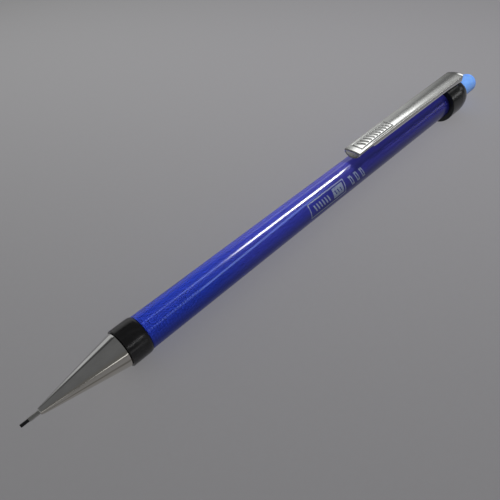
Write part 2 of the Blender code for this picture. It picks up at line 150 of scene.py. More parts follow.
def place(station, across, up):
    """A point at that station, across and up from the pencil's axis, in the row frame."""
    return Vector((TIP + station * MM, across * MM, AXIS_HEIGHT + up * MM))


def lathe(name, outline, body, look, replaces=(), closed=True, segments=144, shift=(0, 0)):
    """An outline turned about the pencil's axis."""
    points = rounded(outline, closed)
    shape = bmesh.new()
    rings = []
    for station, radius in points:
        ring = []
        for k in range(segments if radius > 1e-6 else 1):
            angle = k / segments * math.tau
            across = shift[0] + radius * math.cos(angle)
            up = shift[1] + radius * math.sin(angle)
            ring.append(shape.verts.new(place(station, across, up)))
        rings.append(ring)
    pairs = list(zip(rings, rings[1:]))
    if closed:
        pairs.append((rings[-1], rings[0]))
    for a, b in pairs:
        for k in range(segments):
            after = (k + 1) % segments
            if len(a) == 1:
                shape.faces.new((a[0], b[k], b[after]))
            elif len(b) == 1:
                shape.faces.new((a[k], a[after], b[0]))
            else:
                shape.faces.new((a[k], a[after], b[after], b[k]))
    return finish_mesh(name, shape, body, look, replaces)


def soft_block(name, low, high, radius, body, look, replaces=()):
    """A box between two corners in (station, across, up), with rounded edges."""
    shape = bmesh.new()
    bmesh.ops.create_cube(shape, size=1.0)
    low, high = Vector(low), Vector(high)
    shape.transform(Matrix.Translation((low + high) / 2) @ Matrix.Diagonal((*(high - low), 1.0)))
    bmesh.ops.bevel(
        shape, geom=shape.edges[:], offset=radius, segments=4, profile=0.5, affect="EDGES"
    )
    shape.transform(Matrix.Translation(place(0, 0, 0)) @ Matrix.Scale(MM, 4))
    return finish_mesh(name, shape, body, look, replaces)


def smoothstep(low, high, value):
    t = min(1.0, max(0.0, (value - low) / (high - low)))
    return t * t * (3 - 2 * t)


# ---------------------------------------------------------------- materials


class Look:
    """A node material on a Principled shader. Coordinates are millimetres in the row frame."""

    def __init__(self, name, colour, roughness, metallic=0.0, **sockets):
        self.made = bpy.data.materials.new(name)
        self.made.use_nodes = True
        self.tree = self.made.node_tree
        self.shader = self.tree.nodes["Principled BSDF"]
        self.shader.inputs["Base Color"].default_value = (*colour, 1.0)
        self.shader.inputs["Roughness"].default_value = roughness
        self.shader.inputs["Metallic"].default_value = metallic
        for key, value in sockets.items():
            self.shader.inputs[key.replace("_", " ")].default_value = value
        coords = self.node("ShaderNodeTexCoord").outputs["Object"]
        centred = self.vector("SUBTRACT", coords, tuple(place(0, 0, 0)))
        self.mm = self.vector("SCALE", centred, 1000.0)
        split = self.node("ShaderNodeSeparateXYZ", {0: self.mm}).outputs
        self.station, self.across, self.up = split["X"], split["Y"], split["Z"]

    def node(self, kind, inputs=None, **settings):
        made = self.tree.nodes.new(kind)
        for key, value in settings.items():
            setattr(made, key, value)
        for key, value in (inputs or {}).items():
            if isinstance(value, bpy.types.NodeSocket):
                self.tree.links.new(value, made.inputs[key])
            else:
                made.inputs[key].default_value = value
        return made

    def math(self, operation, a, b=0.0, c=0.0, clamp=False):
        made = self.node("ShaderNodeMath", {0: a, 1: b, 2: c}, operation=operation, use_clamp=clamp)
        return made.outputs[0]

    def vector(self, operation, a, b):
        made = self.node("ShaderNodeVectorMath", operation=operation)
        for key, value in ((0, a), ("Scale" if operation == "SCALE" else 1, b)):
            if isinstance(value, bpy.types.NodeSocket):
                self.tree.links.new(value, made.inputs[key])
            else:
                made.inputs[key].default_value = value
        return made.outputs[0]

    def noise(self, scale, stretch=(1, 1, 1), detail=3.0, rough=0.55):
        """Noise from 0 to 1, with that many features to the millimetre, stretched along some axes."""
        coords = self.vector("MULTIPLY", self.mm, tuple(1 / s for s in stretch))
        made = self.node(
            "ShaderNodeTexNoise",
            {"Vector": coords, "Scale": scale, "Detail": detail, "Roughness": rough},
        )
        return made.outputs[0]

    def between(self, value, low, high, to_low=0.0, to_high=1.0):
        """Maps a range to another smoothly, holding the ends."""
        made = self.node(
            "ShaderNodeMapRange",
            {0: value, 1: low, 2: high, 3: to_low, 4: to_high},
            interpolation_type="SMOOTHSTEP",
        )
        return made.outputs[0]

    def mix(self, share, a, b):
        made = self.node("ShaderNodeMix", data_type="RGBA")
        for key, value in ((0, share), (6, a), (7, b)):
            if isinstance(value, bpy.types.NodeSocket):
                self.tree.links.new(value, made.inputs[key])
            else:
                made.inputs[key].default_value = value if key == 0 else (*value, 1.0)
        return made.outputs[2]

    def angle(self):
        """The angle round the pencil's axis, from straight up towards -Y, in radians."""
        back = self.math("MULTIPLY", self.across, -1.0)
        return self.math("ARCTAN2", back, self.up)

    def set(self, name, value):
        self.tree.links.new(value, self.shader.inputs[name])

    def bump(self, height, distance, strength=1.0):
        """Adds a bump of that depth in millimetres."""
        inputs = {"Height": height, "Distance": distance * MM, "Strength": strength}
        before = self.shader.inputs["Normal"].links
        if before:
            inputs["Normal"] = before[0].from_socket
        self.tree.links.new(
            self.node("ShaderNodeBump", inputs).outputs[0], self.shader.inputs["Normal"]
        )


def bar_rows(look, along, side, first, pitch, count, half, reach, slant, soft=0.04):
    """A mask of slanted bars in a row: 1 on a bar and 0 between them."""
    leaning = look.math("MULTIPLY_ADD", side, slant, along)
    shifted = look.math("SUBTRACT", leaning, first - pitch / 2)
    cell = look.math("SUBTRACT", look.math("MODULO", shifted, pitch), pitch / 2)
    wide = look.between(look.math("ABSOLUTE", cell), half - soft, half + soft, 1.0, 0.0)
    inside = look.math("MULTIPLY", look.math("GREATER_THAN", shifted, 0.0),
                       look.math("LESS_THAN", shifted, pitch * count))
    tall = look.between(look.math("ABSOLUTE", side), reach - soft, reach + soft, 1.0, 0.0)
    return look.math("MULTIPLY", look.math("MULTIPLY", wide, inside), tall)


def box_mask(look, along, side, low, high, side_low, side_high, soft=0.04):
    """1 inside a rectangle of the two coordinates and 0 outside it."""
    mask = None
    for value, a, b in ((along, low, high), (side, side_low, side_high)):
        middle, half = (a + b) / 2, (b - a) / 2
        away = look.math("ABSOLUTE", look.math("SUBTRACT", value, middle))
        part = look.between(away, half - soft, half + soft, 1.0, 0.0)
        mask = part if mask is None else look.math("MULTIPLY", mask, part)
    return mask


def print_mask(look):
    """The worn pad print: bars and a block in a thin frame, and three hollow bars behind it."""
    middle, slant = math.radians(66), -0.35
    front, rear, half = 67.2, 79.9, 1.78
    block_front, block_rear = 75.4, 79.1
    line, side_line = 0.25, 0.24
    along = look.station
    side = look.math("MULTIPLY", look.math("SUBTRACT", look.angle(), middle), BARREL_RADIUS)
    rim_out = box_mask(look, along, side, front, rear, -half, half)
    rim_in = box_mask(look, along, side, front + line, rear - line, side_line - half, half - side_line)
    rim = look.math("SUBTRACT", rim_out, rim_in, clamp=True)
    block = box_mask(look, along, side, block_front, block_rear, -1.25, 1.15)
    bars = bar_rows(look, along, side, 69.0, 0.95, 6, 0.2, 0.8, slant)
    cut = bar_rows(look, along, side, 76.3, 0.95, 3, 0.14, 0.55, slant)
    tail = bar_rows(look, along, side, 82.4, 2.1, 3, 0.5, 1.25, slant)
    hollow = bar_rows(look, along, side, 82.4, 2.1, 3, 0.2, 0.8, slant)
    block = look.math("SUBTRACT", block, cut, clamp=True)
    tail = look.math("SUBTRACT", tail, hollow, clamp=True)
    ink = look.math("MAXIMUM", look.math("MAXIMUM", rim, block), look.math("MAXIMUM", bars, tail))
    wear = look.between(look.noise(3.2, (1, 1, 1), 4.0), 0.28, 0.5, 0.35, 0.95)
    return look.math("MULTIPLY", ink, wear)


def barrel_look():
    look = Look("barrel_plastic", (0.022, 0.034, 0.30), 0.34,
                Coat_Weight=0.62, Coat_Roughness=0.04, Coat_IOR=1.5, IOR=1.49)
    look.shader.inputs["Specular IOR Level"].default_value = 0.06
    flow = look.noise(0.5, (30, 1, 1), 3.0)
    cloud = look.noise(0.12, (2, 1, 1), 2.0)
    depth = look.math("MULTIPLY_ADD", cloud, 0.5, look.math("MULTIPLY", flow, 0.5))
    colour = look.mix(look.between(depth, 0.3, 0.7), (0.025, 0.034, 0.28), (0.033, 0.041, 0.33))
    # painted light and shade along the barrel: the grip end is painted a little bluer and brighter, and the
    # rear darker
    grip = look.between(look.station, 36.0, 52.0, 1.0, 0.0)
    colour = look.mix(look.math("MULTIPLY", grip, 0.9), colour, (0.013, 0.035, 0.345))
    # the rear is painted shade under the clip, greyed as a painted reflection of the clip
    rear = look.between(look.station, 56.0, 84.0)
    colour = look.mix(rear, colour, (0.029, 0.028, 0.205))
    ink = print_mask(look)
    colour = look.mix(ink, colour, (0.30, 0.34, 0.40))
    look.set("Base Color", colour)
    scuff = look.between(look.noise(1.1, (9, 1, 1), 5.0, 0.7), 0.56, 0.72)
    rough = look.math("MULTIPLY_ADD", scuff, 0.12, 0.32)
    look.set("Roughness", look.math("MULTIPLY_ADD", ink, 0.15, rough))
    ripple = look.noise(0.35, (6, 1, 1), 2.0)
    look.bump(ripple, 0.02, 0.5)
    fine = look.noise(14.0, (4, 1, 1), 3.0)
    look.bump(fine, 0.002, 0.4)
    look.bump(ink, 0.008, 0.6)
    return look.made


def chrome_look(name, colour, roughness, lines, line_axis):
    """Polished plated metal, with fine lines left by turning or by drawing the sheet."""
    look = Look(name, colour, roughness, 1.0)
    stretch = (0.25, 6, 6) if line_axis == "round" else (12, 0.5, 0.5)
    line = look.noise(5.0, stretch, 4.0, 0.7)
    smear = look.noise(0.45, (2, 1, 1), 4.0, 0.6)
    tone = look.between(smear, 0.3, 0.72)
    dull = tuple(c * 0.86 for c in colour)
    look.set("Base Color", look.mix(tone, colour, dull))
    speck = look.between(look.noise(6.0, (1, 1, 1), 5.0, 0.75), 0.62, 0.75)
    rough = look.math("MULTIPLY_ADD", tone, 0.05, roughness)
    rough = look.math("MULTIPLY_ADD", line, 0.04, rough)
    look.set("Roughness", look.math("MULTIPLY_ADD", speck, 0.12, rough))
    look.bump(line, lines, 0.5)
    look.bump(smear, 0.02, 0.25)
    return look


def cone_look():
    look = chrome_look("cone_chrome", (0.74, 0.74, 0.73), 0.045, 0.004, "round")
    # the side that lies low is painted a warmer, darker tone as a painted reflection of the floor, with one
    # darker streak painted as a reflection of the pencil's shadow
    angle = look.angle()
    low = look.between(angle, math.radians(46), math.radians(56))
    turn = look.math("ABSOLUTE", look.math("SUBTRACT", angle, math.radians(86.5)))
    shadow_streak = look.between(turn, math.radians(1.5), math.radians(6), 1.0, 0.0)
    broken = look.between(look.noise(1.2, (9, 1, 1), 3.0), 0.25, 0.6, 0.4, 0.95)
    shadow_streak = look.math("MULTIPLY", shadow_streak, broken)
    colour = look.shader.inputs["Base Color"].links[0].from_socket
    colour = look.mix(low, colour, (0.69, 0.665, 0.61))
    look.set("Base Color", look.mix(shadow_streak, colour, (0.38, 0.355, 0.31)))
    return look.made


def clip_look():
    look = chrome_look("clip_chrome", (0.72, 0.73, 0.71), 0.10, 0.006, "along")
    # dirt and painted shade in the pressed lines of the panel
    along, side = look.station, look.across
    edges = []
    for wider, higher in ((0.15, 0.15), (-0.1, -0.09)):
        reach, half = PANEL_REACH + wider, PANEL_HALF_WIDTH + higher
        edges.append(box_mask(look, along, side, PANEL_MIDDLE - reach, PANEL_MIDDLE + reach, -half, half))
    rim = look.math("SUBTRACT", edges[0], edges[1], clamp=True)
    bars = bar_rows(look, along, side, PANEL_FIRST_BAR, PANEL_BAR_PITCH, PANEL_BARS, 0.26, 1.02,
                    math.tan(PANEL_BAR_SLANT))
    on_top = look.math("GREATER_THAN", look.up, 5.75)
    pressed = look.math("MULTIPLY", look.math("MAXIMUM", rim, bars), on_top)
    dirt_and_shade_noise = look.between(look.noise(4.0, (1, 1, 1), 4.0), 0.2, 0.6, 0.25, 0.7)
    colour = look.shader.inputs["Base Color"].links[0].from_socket
    # the flange is painted a little darker as shade, with a painted highlight along its lower edge
    flange = look.between(look.math("ABSOLUTE", side), 1.93, 2.1)
    rise = look.math("MULTIPLY", look.math("SUBTRACT", along, CLIP_FRONT), 0.0077)
    drop = look.between(along, CAP_FRONT, CAP_FRONT + CLIP_FLANGE_RUN, 0.0, CLIP_FLANGE_EXTRA)
    height = look.math("ADD", look.math("SUBTRACT", look.up, rise), drop)
    edge = look.between(height, 5.15, 5.32, 1.0, 0.0)
    flange_shade = look.math("MULTIPLY", flange, look.math("SUBTRACT", 1.0, edge))
    colour = look.mix(flange_shade, colour, (0.58, 0.58, 0.56))
    # the painted highlight along the flange's lower edge
    colour = look.mix(look.math("MULTIPLY", flange, edge), colour, (0.95, 0.95, 0.93))
    pressed_dirt_and_shade = look.math("MULTIPLY", pressed, dirt_and_shade_noise)
    look.set("Base Color", look.mix(pressed_dirt_and_shade, colour, (0.22, 0.225, 0.22)))
    rough = look.shader.inputs["Roughness"].links[0].from_socket
    look.set("Roughness", look.math("MULTIPLY_ADD", pressed_dirt_and_shade, 0.2, rough))
    return look.made


def inside_look():
    """The clip's inside, which the plating reaches thinly."""
    look = Look("clip_inside_metal", (0.50, 0.50, 0.49), 0.38, 0.6)
    stain = look.noise(1.3, (3, 1, 1), 4.0, 0.65)
    look.set("Base Color", look.mix(stain, (0.42, 0.42, 0.41), (0.62, 0.62, 0.60)))
    drawn = look.noise(6.0, (12, 0.6, 0.6), 4.0, 0.7)
    look.set("Roughness", look.math("MULTIPLY_ADD", drawn, 0.25, 0.3))
    look.bump(drawn, 0.01, 0.6)
    return look.made


def black_look(name, colour, roughness, index=1.5):
    """Black moulded plastic with faint flow lines and rubbed patches."""
    look = Look(name, colour, roughness, 0.0, IOR=index)
    cloud = look.noise(0.6, (2, 1, 1), 4.0, 0.6)
    rubbed = look.between(cloud, 0.42, 0.72)
    pale = tuple(c * 1.9 + 0.004 for c in colour)
    look.set("Base Color", look.mix(rubbed, colour, pale))
    grain = look.noise(9.0, (1, 1, 1), 4.0, 0.65)
    rough = look.math("MULTIPLY_ADD", grain, 0.12, roughness - 0.06)
    look.set("Roughness", look.math("MULTIPLY_ADD", rubbed, 0.08, rough))
    look.bump(grain, 0.008, 0.6)
    look.bump(look.noise(1.2, (5, 1, 1), 3.0), 0.02, 0.35)
    return look.made


def button_look():
    look = Look("button_plastic", (0.17, 0.385, 0.95), 0.36,
                Subsurface_Weight=0.25, Subsurface_Scale=0.0015, IOR=1.5)
    look.shader.inputs["Subsurface Radius"].default_value = (0.3, 0.6, 1.0)
    cloud = look.noise(0.7, (1, 1, 1), 4.0, 0.6)
    colour = look.mix(look.between(cloud, 0.3, 0.7), (0.16, 0.365, 0.91), (0.19, 0.41, 0.97))
    grime = look.between(look.noise(2.2, (3, 1, 1), 5.0, 0.7), 0.6, 0.78, 0.0, 0.25)
    look.set("Base Color", look.mix(grime, colour, (0.08, 0.24, 0.62)))
    grain = look.noise(8.0, (1, 1, 1), 4.0, 0.6)
    look.set("Roughness", look.math("MULTIPLY_ADD", grain, 0.14, 0.3))
    look.bump(grain, 0.006, 0.6)
    return look.made


def lead_look():
    look = Look("graphite", (0.012, 0.012, 0.013), 0.42, 0.35, IOR=1.6)
    grain = look.noise(10.0, (6, 1, 1), 5.0, 0.7)
    look.set("Base Color", look.mix(grain, (0.006, 0.006, 0.007), (0.045, 0.045, 0.048)))
    look.set("Roughness", look.math("MULTIPLY_ADD", grain, 0.3, 0.3))
    look.bump(grain, 0.01, 0.7)
    return look.made


def brass_look():
    look = Look("turned_brass", (0.66, 0.44, 0.16), 0.26, 1.0)
    rings = look.noise(7.0, (0.3, 8, 8), 4.0, 0.7)
    stain = look.between(look.noise(0.9, (1, 1, 1), 4.0), 0.4, 0.75)
    look.set("Base Color", look.mix(stain, (0.70, 0.48, 0.19), (0.46, 0.28, 0.10)))
    look.set("Roughness", look.math("MULTIPLY_ADD", stain, 0.15, 0.22))
    look.bump(rings, 0.012, 0.7)
    return look.made


def steel_look():
    look = Look("spring_steel", (0.50, 0.50, 0.49), 0.28, 1.0)
    drawn = look.noise(8.0, (1, 3, 3), 4.0, 0.7)
    look.set("Base Color", look.mix(drawn, (0.40, 0.40, 0.39), (0.60, 0.60, 0.58)))
    look.set("Roughness", look.math("MULTIPLY_ADD", drawn, 0.2, 0.2))
    look.bump(drawn, 0.006, 0.6)
    return look.made


def holder_look():
    look = Look("drawn_aluminium", (0.62, 0.62, 0.63), 0.3, 1.0)
    drawn = look.noise(9.0, (14, 1, 1), 4.0, 0.7)
    look.set("Base Color", look.mix(drawn, (0.52, 0.52, 0.53), (0.70, 0.70, 0.71)))
    look.set("Roughness", look.math("MULTIPLY_ADD", drawn, 0.22, 0.2))
    look.bump(drawn, 0.006, 0.6)
    return look.made


def tube_look():
    look = Look("magazine_plastic", (0.72, 0.72, 0.68), 0.35,
                Subsurface_Weight=0.3, Subsurface_Scale=0.001, IOR=1.5)
    cloud = look.noise(0.4, (8, 1, 1), 4.0)
    look.set("Base Color", look.mix(look.between(cloud, 0.3, 0.7), (0.62, 0.62, 0.58), (0.78, 0.78, 0.75)))
    dust = look.between(look.noise(2.6, (1, 1, 1), 5.0, 0.75), 0.55, 0.72)
    look.set("Roughness", look.math("MULTIPLY_ADD", dust, 0.25, 0.3))
    look.bump(look.noise(3.0, (10, 1, 1), 3.0), 0.01, 0.5)
    return look.made


def eraser_look():
    look = Look("eraser_rubber", (0.80, 0.80, 0.78), 0.75,
                Subsurface_Weight=0.2, Subsurface_Scale=0.001)
    grain = look.noise(5.0, (1, 1, 1), 6.0, 0.7)
    used = look.between(look.station, 142.6, 143.6)
    smudge = look.between(look.noise(1.4, (1, 1, 1), 5.0, 0.7), 0.42, 0.66)
    grey = look.math("MULTIPLY", look.math("MULTIPLY", used, smudge), 0.55)
    clean = look.mix(grain, (0.74, 0.74, 0.72), (0.85, 0.85, 0.83))
    look.set("Base Color", look.mix(grey, clean, (0.16, 0.16, 0.17)))
    look.set("Roughness", look.math("MULTIPLY_ADD", grain, 0.2, 0.65))
    look.bump(grain, 0.03, 0.8)
    return look.made


def rubber_look():
    look = Look("retainer_rubber", (0.02, 0.02, 0.02), 0.75)
    grain = look.noise(8.0, (1, 1, 1), 5.0, 0.7)
    look.set("Base Color", look.mix(grain, (0.012, 0.012, 0.012), (0.035, 0.035, 0.035)))
    look.set("Roughness", look.math("MULTIPLY_ADD", grain, 0.2, 0.65))
    look.bump(grain, 0.01, 0.7)
    return look.made


# ---------------------------------------------------------------- pieces


def make_barrel(look):
    ring_start, ring_pitch, ring_count, ring_depth = 24.0, 0.6, 20, 0.011
    grip = []
    steps = 8
    for i in reversed(range(ring_count * steps + 1)):
        station = ring_start - ring_pitch / 2 + i / steps * ring_pitch
        if station < BARREL_FRONT + 0.35:
            continue
        phase = (station - ring_start) / ring_pitch * math.tau
        dip = (0.5 + 0.5 * math.cos(phase)) ** 2 * ring_depth
        grip.append((station, BARREL_RADIUS - dip))
    outline = [
        (BARREL_REAR, 2.6),
        (BARREL_REAR, BARREL_RADIUS, 0.15),
        *grip,
        (BARREL_FRONT + 0.3, BARREL_RADIUS),
        (BARREL_FRONT, BARREL_RADIUS, 0.12),
        (BARREL_FRONT, 2.6),
    ]
    return lathe("barrel_shell", outline, "barrel", look, ["barrel"], segments=192)


def make_cone(look):
    pipe_bore, retainer_bore, chuck_bore, neck_bore, spigot_bore = 0.4, 1.05, 1.62, 1.86, 2.51
    pipe_end, retainer_end, chuck_end, neck_end = 8.1, 10.7, 14.4, 16.1
    outline = [
        (CONE_REAR, spigot_bore),
        (CONE_REAR, 3.37, 0.09),
        (CONE_REAR - 0.42, 3.37, 0.12),
        (NOSE_FRONT + 0.5, 0.74, 0.35),
        (NOSE_FRONT + 0.02, 0.6, 0.16),
        (NOSE_FRONT, pipe_bore),
        (pipe_end, pipe_bore),
        (pipe_end, retainer_bore),
        (retainer_end, retainer_bore),
        (retainer_end, chuck_bore),
        (chuck_end, chuck_bore),
        (chuck_end, neck_bore),
        (neck_end, neck_bore),
        (neck_end, spigot_bore),
    ]
    return lathe("nose_cone_shell", outline, "nose", look, ["nose_cone"], segments=192)


def make_sleeve(look):
    rear, radius, bore = 7.9, 0.38, 0.315
    outline = [
        (rear, radius),
        (SLEEVE_FRONT, radius, 0.05),
        (SLEEVE_FRONT, bore),
        (rear, bore),
    ]
    return lathe("lead_sleeve_tube", outline, "nose", look, ["lead_sleeve"], segments=48)


def lead_outline(front):
    return [
        (front + LEAD_LENGTH, 0.0),
        (front + LEAD_LENGTH, LEAD_RADIUS, 0.03),
        (front, LEAD_RADIUS, 0.13),
        (front, 0.0),
    ]


def make_leads(look):
    """The lead in use, and the spare ones side by side at the bottom of the lead tube."""
    lathe("lead_rod", lead_outline(0.0), "lead", look, ["lead"], closed=False, segments=32)
    from_axis, apart = 1.28, math.radians(28)
    for i in range(SPARE_LEADS):
        angle = -math.pi / 2 + (i - 1) * apart
        shift = (from_axis * math.cos(angle), from_axis * math.sin(angle))
        lathe(f"spare_lead_rod_{i + 1}", lead_outline(SPARE_LEAD_START), "push_rod", look,
              [f"spare_lead_{i + 1}"], closed=False, segments=32, shift=shift)


def make_collar(look):
    rear_end, rear_spigot, spring_bore = 31.0, 2.58, 2.15
    front_end, front_spigot, clutch_bore = 16.2, 2.48, 1.86
    wall_front, wall_rear, wall_bore = 18.45, 20.0, 1.2
    outline = [
        (rear_end, rear_spigot - 0.13),
        (rear_end - 0.3, rear_spigot),
        (COLLAR_REAR, rear_spigot),
        (COLLAR_REAR, 3.57, 0.12),
        (COLLAR_REAR - 0.45, 3.70, 0.3),
        (COLLAR_REAR - 1.0, COLLAR_RADIUS, 0.4),
        (COLLAR_FRONT, COLLAR_RADIUS, 0.14),
        (COLLAR_FRONT, front_spigot),
        (front_end + 0.2, front_spigot),
        (front_end, front_spigot - 0.2),
        (front_end, clutch_bore),
        (wall_front, clutch_bore),
        (wall_front, wall_bore),
        (wall_rear, wall_bore),
        (wall_rear, spring_bore),
        (rear_end, spring_bore),
    ]
    return lathe("front_collar_ring", outline, "barrel", look, ["front_collar"], segments=160)


def make_cap(look):
    button_bore, barrel_bore, barrel_stop = 2.82, 3.53, 132.0
    outline = [
        (CAP_REAR, button_bore, 0.05),
        (CAP_REAR, 3.55, 0.12),
        (CAP_REAR - 0.3, 3.92, 0.25),
        (CAP_REAR - 0.8, 4.15, 0.4),
        (CAP_REAR - 1.7, 4.46, 0.8),
        (CAP_REAR - 2.9, 4.72, 1.0),
        (CAP_REAR - 4.3, CAP_RADIUS, 1.2),
        (CAP_FRONT, CAP_RADIUS, 0.18),
        (CAP_FRONT, barrel_bore, 0.04),
        (barrel_stop, barrel_bore),
        (barrel_stop, button_bore),
    ]
    return lathe("end_cap_shell", outline, "barrel", look, ["end_cap"], segments=192)


def make_seat(look):
    """The raised seat on the cap that carries the clip. It has no slot for the clip's tab."""
    front, rear, half_width, low, high = 129.3, 136.0, 1.65, 3.8, 5.75
    return soft_block(
        "clip_seat", (front, -half_width, low), (rear, half_width, high), 0.2, "barrel", look
    )


def make_button(look):
    bore, bore_end, bore_taper, dimple = 2.28, 144.8, 0.8, 0.05
    outline = [(LENGTH - dimple, 0.0), (LENGTH - dimple, 0.42, 0.05), (LENGTH, 0.5, 0.06)]
    rounding = 1.3
    flat = BUTTON_RADIUS - rounding
    for i in range(13):
        angle = i / 12 * math.pi / 2
        outline.append((LENGTH - rounding * (1 - math.cos(angle)), flat + rounding * math.sin(angle)))
    outline += [
        (BUTTON_FRONT, BUTTON_RADIUS, 0.12),
        (BUTTON_FRONT, bore, 0.05),
        (bore_end, bore),
        (bore_end + bore_taper, bore - bore_taper),
        (bore_end + bore_taper, 0.0),
    ]
    return lathe("push_button_shell", outline, "button", look, ["push_button"], closed=False, segments=144)


def make_eraser(look):
    front, rear, radius = 132.5, 143.6, 1.82
    outline = [
        (rear, 0.0),
        (rear, 1.5, 0.3),
        (rear - 0.35, radius, 0.3),
        (front, radius, 0.1),
        (front, 0.0),
    ]
    return lathe("eraser_plug", outline, "eraser_unit", look, ["eraser"], closed=False, segments=96)


def make_holder(look):
    plug_front, cup_front, cup_floor, cup_rear = 127.2, 131.1, 132.4, 139.5
    plug_radius, cup_bore, cup_radius = 1.58, 1.85, 2.25
    outline = [
        (cup_floor, 0.0),
        (cup_floor, cup_bore),
        (cup_rear, cup_bore, 0.08),
        (cup_rear, cup_radius, 0.12),
        (cup_front, cup_radius, 0.12),
        (cup_front, plug_radius),
        (plug_front, plug_radius, 0.3),
        (plug_front, 0.0),
    ]
    return lathe("eraser_cup", outline, "eraser_unit", look, ["eraser_holder"], closed=False, segments=96)


def make_spring(look):
    turns, per_turn, sides, wire, radius = 9, 36, 12, 0.16, 1.62
    front, rear = 20.2, 32.3
    shape = bmesh.new()
    rings = []
    count = turns * per_turn
    for i in range(count + 1):
        share = i / count
        turn = share * turns * math.tau
        outward = Vector((0, math.cos(turn), math.sin(turn)))
        forward = Vector((1, 0, 0))
        middle = Vector((front + share * (rear - front), 0, 0)) + outward * radius
        ring = []
        for k in range(sides):
            a = k / sides * math.tau
            point = middle + outward * (wire * math.cos(a)) + forward * (wire * math.sin(a))
            ring.append(shape.verts.new(place(*point)))
        rings.append(ring)
    for a, b in zip(rings, rings[1:]):
        for k in range(sides):
            after = (k + 1) % sides
            shape.faces.new((a[k], a[after], b[after], b[k]))
    shape.faces.new(rings[0])
    shape.faces.new(rings[-1])
    spring = finish_mesh("return_spring_coil", shape, "barrel", look, ["return_spring"])
    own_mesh(spring)
    return spring


# ---- the clip


def clip_edge(station):
    """The clip's half width at that station, and how high its shoulder is above the axis."""
    share = (station - CLIP_FRONT) / (CLIP_REAR - CLIP_FRONT)
    return 2.2 + 0.22 * share, 5.85 + 0.4 * share


def clip_section(station, inset, flat_steps=22, turn_steps=7, side_steps=14):
    """Half of one section of the clip's sheet, from its crown down to the flange's edge."""
    half, edge = clip_edge(station)
    past = max(0.0, station - (CLIP_REAR - CLIP_ROUND_END)) / CLIP_ROUND_END
    narrowing = math.sqrt(max(0.0, 1 - past**2))
    nose = 1 - smoothstep(0.0, CLIP_NOSE_LENGTH, station - CLIP_FRONT)
    width = max(0.0, half - inset) * narrowing
    crown = CLIP_CROWN * narrowing**2 * (1 - 0.7 * nose)
    rolled = max(0.0, 1 - (station - CLIP_FRONT) / 2.0)
    top = edge + crown - inset - 0.35 * (1 - narrowing) - 0.1 * rolled**2
    rounding = min(max(0.17 - inset / 8, 0.1), 0.6 * width)
    points = []
    for i in range(flat_steps):
        a = i / flat_steps
        points.append((a * (width - rounding), top - 0.8 * crown * a * a))
    shoulder = top - crown * 0.8
    for i in range(turn_steps + 1):
        angle = i / turn_steps * math.pi / 2
        across = width - rounding + rounding * math.sin(angle)
        points.append((across, shoulder - rounding * (1 - math.cos(angle))))
    over_cap = min(1.0, max(0.0, (station - CAP_FRONT) / CLIP_FLANGE_RUN))
    bottom = edge - CLIP_FLANGE - over_cap * CLIP_FLANGE_EXTRA
    start = points[-1][1]
    belly = edge - CLIP_NOSE_DEPTH + inset
    seam = 0.01
    for i in range(1, side_steps + 1):
        f = i / side_steps
        sweep = f * math.pi / 2
        curled = (seam + (width - seam) * math.cos(sweep), start + (belly - start) * math.sin(sweep))
        straight = (width, start + f * (bottom - start))
        points.append(
            (
                straight[0] + (curled[0] - straight[0]) * nose,
                straight[1] + (curled[1] - straight[1]) * nose,
            )
        )
    return points


def panel_depth(station, across):
    """How deep the pressed panel is at that place on the clip's top."""
    along = station - PANEL_MIDDLE
    frame_line = 0.0
    if abs(along) < PANEL_REACH + 0.2 and abs(across) < PANEL_HALF_WIDTH + 0.2:
        off_line = max(abs(along) - PANEL_REACH, abs(across) - PANEL_HALF_WIDTH)
        frame_line = 1 - smoothstep(0.04, 0.15, abs(off_line))
    bars = 0.0
    cosine, sine = math.cos(PANEL_BAR_SLANT), math.sin(PANEL_BAR_SLANT)
    for i in range(PANEL_BARS):
        x = station - (PANEL_FIRST_BAR + i * PANEL_BAR_PITCH)
        thick = abs(x * cosine + across * sine) - 0.22
        tall = abs(across * cosine - x * sine) - 1.1
        bars = max(bars, 1 - smoothstep(-0.06, 0.08, max(thick, tall)))
    return 0.1 * bars + 0.07 * frame_line


def clip_stations():
    """Where the clip's sections are: close together at the nose, the panel and the round end."""
    nose = [CLIP_FRONT + 1.6 * (i / 10) ** 1.2 for i in range(10)]
    step = 0.11
    panel_front, panel_rear = PANEL_MIDDLE - PANEL_REACH - 0.2, PANEL_MIDDLE + PANEL_REACH + 0.4
    panel = [panel_front + i * step for i in range(int((panel_rear - panel_front) / step) + 1)]
    straight_front, straight_rear = panel_rear + 0.3, CLIP_REAR - CLIP_ROUND_END
    straight = [straight_front + (straight_rear - straight_front) * i / 40 for i in range(41)]
    turns = [i / 16 * math.pi / 2 for i in range(1, 17)]
    return nose + panel + straight + [straight_rear + CLIP_ROUND_END * math.sin(a) for a in turns]


def clip_skin(shape, stations, inset):
    """One side of the sheet, as rows of vertices: the outside, or the inside at an inset."""
    front = CLIP_FRONT + CLIP_SHEET / 2
    rows = []
    for station in stations:
        where = front + (station - CLIP_FRONT) * (CLIP_REAR - inset - front) / (CLIP_REAR - CLIP_FRONT)
        half = clip_section(station, inset)
        section = [(-a, h) for a, h in reversed(half[1:])] + half
        row = []
        for across, height in section:
            depth = panel_depth(station, across) if inset == 0.0 and height > 5.9 else 0.0
            row.append(shape.verts.new(place(where, across, height - depth)))
        rows.append(row)
    return rows


def round_side(shape, outer, inner, j, nearer):
    """Closes the sheet along its edge j with a lip that stands out, and returns the lip's vertices."""
    lips = []
    for outside, inside in zip(outer, inner):
        along = outside[j].co - outside[nearer].co
        along = along.normalized() if along.length > 1e-9 else Vector((0, 0, -1))
        middle = (outside[j].co + inside[j].co) / 2
        lips.append(shape.verts.new(middle + along * (0.10 * MM)))
    for i in range(len(lips) - 1):
        shape.faces.new((outer[i][j], outer[i + 1][j], lips[i + 1], lips[i]))
        shape.faces.new((lips[i], lips[i + 1], inner[i + 1][j], inner[i][j]))
    return lips


